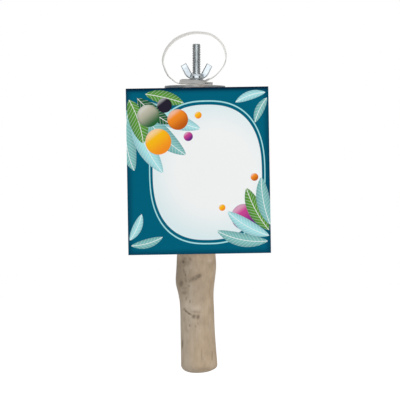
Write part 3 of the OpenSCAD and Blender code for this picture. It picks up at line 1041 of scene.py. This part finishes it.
# The loop is a little wider at the back, and the upper end lies askew
upper_end = ramp(along, 0.84, 0.885)
sideways = (side * (back * given["Flare"] + 1.0)
            + (upper_end * given["End Skew"] + given["Skew"]) * back)
# The nut holds the upper end flat under its hub, and the front of it bends down from there
rear = soft_excess(back - given["Hub"], press_softness)
under = soft_excess(given["Hub"] - back, press_softness)
front = soft_excess(given["Hub"] * -bend_start - back, bend_softness)
raised = (rear * rear_rise + under * given["Level"] - front * given["Droop"]) * upper_end
# The top of the loop is twisted a little, up at the back on the left
raised -= back * side * ramp(up, 22 * MM, 34 * MM) * given["Twist"]
# Just outside the ends it lies flatter than higher up
low_down = ramp(up, 20 * MM, 9 * MM) * ramp(abs(side), 5 * MM, 9 * MM)
outside = ramp(along, 0.05, 0.09) * ramp(along, 0.93, 0.90)
raised -= low_down * outside * back * given["Ease"]
spot = put(strip, "ShaderNodeCombineXYZ", {0: sideways, 1: back, 2: up + raised})
bent = put(strip, "GeometryNodeSetPosition", {0: swept, "Position": spot})
# How near each point is to one of the strap's long cut edges
end_tree(given, paint(bent, "cut_edge", given["Width"] * 0.5 - abs(back)))

milky, shader, spot = new_finish("milky_plastic")
along = layer(milky, "along")
haze = grain(spot, (7, 7, 7))
scuff = grain(spot, (3, 6, 3), 2)
colour = tint(ramp(haze, 0.35, 0.65), (0.905, 0.893, 0.862), (0.880, 0.868, 0.837))
# Painted shade: the two stacked ends are coloured greyer than the loop, for the shade they lie
# in
stain_and_shade = most(ramp(along, 0.855, 0.875), ramp(along, 0.080, 0.065, 0.0, 0.45))
colour = tint(stain_and_shade * ramp(along, 1.0, 0.99, 0.6, 1.0), colour, (0.530, 0.524, 0.510))
# Painted shade: the cut edges are coloured greyer than the faces, to tone down the light they
# catch
colour = tint(ramp(layer(milky, "cut_edge"), 0.25 * MM, 0.05 * MM), colour,
              (0.860, 0.855, 0.840), mode="MULTIPLY")
end_finish(shader, colour, ramp(scuff, 0.35, 0.7, 0.60, 0.70), scuff, 0.004 * MM,
           specular=0.10)

strap_curve = bpy.data.curves.new("strap_path", "CURVE")
strap_curve.dimensions = "3D"
line = strap_curve.splines.new("POLY")
strap_points = through(strap_route, route_steps)
line.points.add(len(strap_points) - 1)
for point, flat_spot in zip(line.points, strap_points):
    point.co = (flat_spot.x, 0, flat_spot.y, 1)


def rod(radius, low, high, sides):
    """A plain cylinder on the stud's axis."""
    mesh = bpy.data.meshes.new("rod")
    work = bmesh.new()
    bmesh.ops.create_cone(work, cap_ends=True, segments=sides, radius1=radius, radius2=radius,
                          depth=high - low, matrix=Matrix.Translation((0, 0, (low + high) / 2)))
    work.to_mesh(mesh)
    work.free()
    return mesh


strap_mesh = grow("hang_strap_loop", strip, milky, strap_sizes, strap_curve)
strap_mesh = combine("DIFFERENCE", strap_mesh, rod(
    strap_hole, -drill_margin, strap_stack + drill_margin, drill_sides))
strap_mesh.transform(Matrix.Translation((0, 0, strap_base))
                     @ Matrix.Rotation(strap_lean, 4, "X"))
face_outwards(strap_mesh, 35)
show("hang_strap_loop", strap_mesh, "strap", "milky_plastic", "hang_strap")


# Wing nut
# A zinc casting, plated bright: a round hub with two wings swept up and out, their edges
# softened by the mould, and a bore that clears the stud's thread.
nut_low, nut_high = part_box("wing_nut")
nut_height = nut_high.z - nut_low.z
half_span = 11.9 * MM
hub_height = 4.1 * MM
hub_profile = [(0.6, 0), (4.8, 0), (5.3, 0.9), (5.2, 2.4), (4.65, 3.9), (4.3, 4.1), (0.6, 4.1)]
hub_sides = 96
core_radius, core_margin, core_sides = 1.2 * MM, 0.05, 48
wing_thickness = 2.2 * MM
wing_turn = math.radians(10)
wing_bevel = 0.65 * MM
wing_root_share, wing_taper = 1.12, 0.25
sharpest_corner = 1.2
curve_steps = 10
nut_grain = 0.12 * MM
bore_play = 0.06 * MM
bore_margin = 1 * MM
wing_shares = {"root": (0.32, 0.39), "tip": (0.66, 1.00), "corner": (1.00, 0.82),
               "waist": (0.80, 0.42), "belly": (0.67, 0.13), "foot": (0.38, 0.05)}


def wing_outline():
    """A wing's face, from the nut's axis out: straight edges, and a curve underneath."""
    at = {name: Vector((x * half_span, up * nut_height)) for name, (x, up)
          in wing_shares.items()}
    under = [at["waist"] * (1 - u) ** 2 + at["belly"] * 2 * u * (1 - u) + at["foot"] * u ** 2
             for u in (n / curve_steps for n in range(curve_steps + 1))]
    return [Vector((0, at["foot"].y)), Vector((0, at["root"].y)), at["root"], at["tip"],
            at["corner"]] + under


def wing_solid(turn):
    """One wing: its outline given thickness, thinner towards the tip, with bevelled edges."""
    work = bmesh.new()
    rim = wing_outline()
    count = len(rim)
    inner = []
    for n in range(count):
        ahead, behind = rim[(n + 1) % count] - rim[n], rim[n] - rim[n - 1]
        inward = (Vector((-ahead.y, ahead.x)).normalized()
                  + Vector((-behind.y, behind.x)).normalized())
        inner.append(rim[n] - inward * wing_bevel / max(inward.length, sharpest_corner))
    layers = []
    for side, drawn, inset in ((-1, inner, 0), (-1, rim, wing_bevel), (1, rim, wing_bevel),
                               (1, inner, 0)):
        half = [wing_thickness / 2 * (wing_root_share - wing_taper * p.x / half_span)
                for p in drawn]
        layers.append([work.verts.new((p.x, side * (h - inset), p.y))
                       for p, h in zip(drawn, half)])
    work.faces.new(layers[0])
    work.faces.new(reversed(layers[-1]))
    for low, high in zip(layers, layers[1:]):
        for n in range(count):
            m = (n + 1) % count
            work.faces.new((low[m], low[n], high[n], high[m]))
    bmesh.ops.triangulate(work, faces=[f for f in work.faces if len(f.verts) > 4])
    bmesh.ops.rotate(work, verts=work.verts, matrix=Matrix.Rotation(turn, 3, "Z"))
    mesh = bpy.data.meshes.new("wing")
    work.to_mesh(mesh)
    work.free()
    return mesh


hub = turned_ring("hub", [(r * MM, z * MM) for r, z in hub_profile], hub_sides)
core = rod(core_radius, hub_height * core_margin, hub_height * (1 - core_margin), core_sides)
holder = place_in_scene("nut", combine("UNION", hub, core, wing_solid(wing_turn),
                                       wing_solid(wing_turn + math.pi)))
cast = holder.modifiers.new("cast", "REMESH")
cast.mode = "VOXEL"
cast.voxel_size = nut_grain
soften = holder.modifiers.new("soften", "SMOOTH")
soften.factor = 0.5
soften.iterations = 3
nut_mesh = combine("DIFFERENCE", finished(holder), rod(
    stud_radius + bore_play, -bore_margin, nut_height + bore_margin, drill_sides))
nut_mesh.transform(Matrix.Translation((0, 0, nut_low.z)))
face_outwards(nut_mesh, 50)
nut_mesh.materials.clear()
nut_mesh.materials.append(zinc("zinc_casting", (0.74, 0.81, 0.86), (0.58, 0.64, 0.69), 0.16))
show("cast_wing_nut", nut_mesh, "wing_nut", "zinc_casting", "wing_nut")


# Studio
# A pale floor under the hanging perch, a white background behind it, a broad soft light in
# front and a weaker one to the right. The room behind the camera is dim.
floor_z = -0.30
floor_reach = 4.0
floor_glow = 0.56
room_light = 0.60
dim_room = 0.10

camera = place_in_scene("camera", bpy.data.cameras.new("camera"))
camera.data.lens = 244.8
camera.data.sensor_width = 36
camera.location = (0.0026, -2.015, -0.0819)
camera.rotation_euler = (math.radians(90), 0, 0)
camera.data.clip_end = 50
bpy.context.scene.camera = camera

floor_mesh = mesh_of("floor", [(x * floor_reach, y * floor_reach, floor_z)
                               for x, y in ((-1, -1), (1, -1), (1, 1), (-1, 1))],
                     [(0, 1, 2, 3)])
floor = place_in_scene("floor", floor_mesh)
floor_paint, shader, spot = new_finish("floor_paint")
seen = put(floor_paint.node_tree, "ShaderNodeLightPath", output="Is Camera Ray")
fill(shader, {"Base Color": (0.86, 0.86, 0.86, 1), "Roughness": 0.9,
              "Specular IOR Level": 0.0, "Emission Color": (1, 1, 1, 1),
              "Emission Strength": seen * floor_glow})
floor_mesh.materials.append(floor_paint)
floor.visible_glossy = False

# Rays from the camera and through clear things see white. Rays off metal see white behind
# the perch, a bright ceiling, a grey floor and a dim room at the sides.
sky = bpy.data.worlds.new("studio")
sky.use_nodes = True
bpy.context.scene.world = sky
seen, passed, reflected = (
    put(sky.node_tree, "ShaderNodeLightPath", output=f"Is {kind} Ray")
    for kind in ("Camera", "Transmission", "Glossy"))
toward = put(sky.node_tree, "ShaderNodeTexCoord", output="Generated")
behind, above = toward.axis(1), toward.axis(2)
room = ramp(above, 0.34, 0.76, dim_room, 0.90) + ramp(above, -0.55, -0.95, 0.0, 0.30)
room = most(room, ramp(behind, 0.35, 0.80))
strength = (reflected * (room - room_light)
            + (most(seen, passed) * (1.0 - room_light) + room_light))
fill(sky.node_tree.nodes["Background"], {"Strength": strength, "Color": (1, 1, 1, 1)})


def soft_light(name, place, aim, width, height, power, seen_in_metal):
    """A broad lamp that the camera doesn't see."""
    lamp = bpy.data.lights.new(name, "AREA")
    lamp.shape = "RECTANGLE"
    lamp.size = width
    lamp.size_y = height
    lamp.energy = power
    holder = place_in_scene(name, lamp)
    holder.location = place
    holder.rotation_euler = (Vector(aim) - Vector(place)).to_track_quat("-Z", "Y").to_euler()
    holder.visible_camera = False
    holder.visible_glossy = seen_in_metal


soft_light("front_light", (0.06, -2.3, 0.30), (0, 0, -0.05), 2.9, 2.3, 24, True)
soft_light("side_light", (1.3, -0.9, 0.0), (0, 0, -0.1), 0.8, 1.2, 5, False)

bpy.context.scene.view_settings.view_transform = "Standard"
